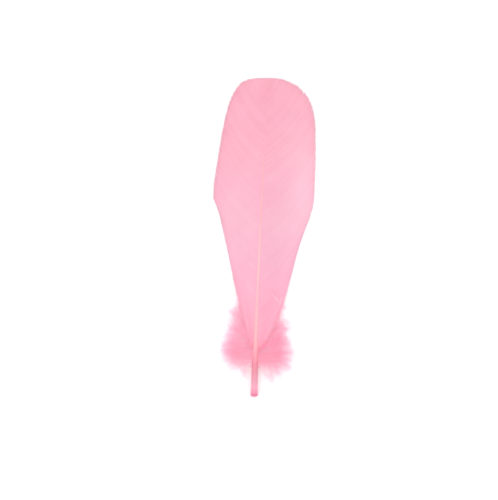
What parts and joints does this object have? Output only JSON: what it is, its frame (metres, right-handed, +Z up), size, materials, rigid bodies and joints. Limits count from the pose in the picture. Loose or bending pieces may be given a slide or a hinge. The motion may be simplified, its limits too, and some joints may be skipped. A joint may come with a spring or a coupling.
{
  "type": "goose quill feather",
  "caption": "Pink dyed goose feather with a bare cut quill, two smooth broad vanes with a blunt round tip, and a tuft of down at their foot, lying with its outer side up.",
  "frame": {"origin": "the centre of the feather's box, on the surface that it lies on", "axes": "+Y runs from the quill's cut end to the vane's tip, +X is to the right of it seen from above, and +Z is up, away from the surface"},
  "size_m": [0.0524, 0.1604, 0.0082],
  "materials": {
    "dyed_keratin": "soft satin, dyed pink, paler along the quill"
  },
  "bodies": {
    "root": {"feather": "dyed_keratin"}
  },
  "joints": []
}
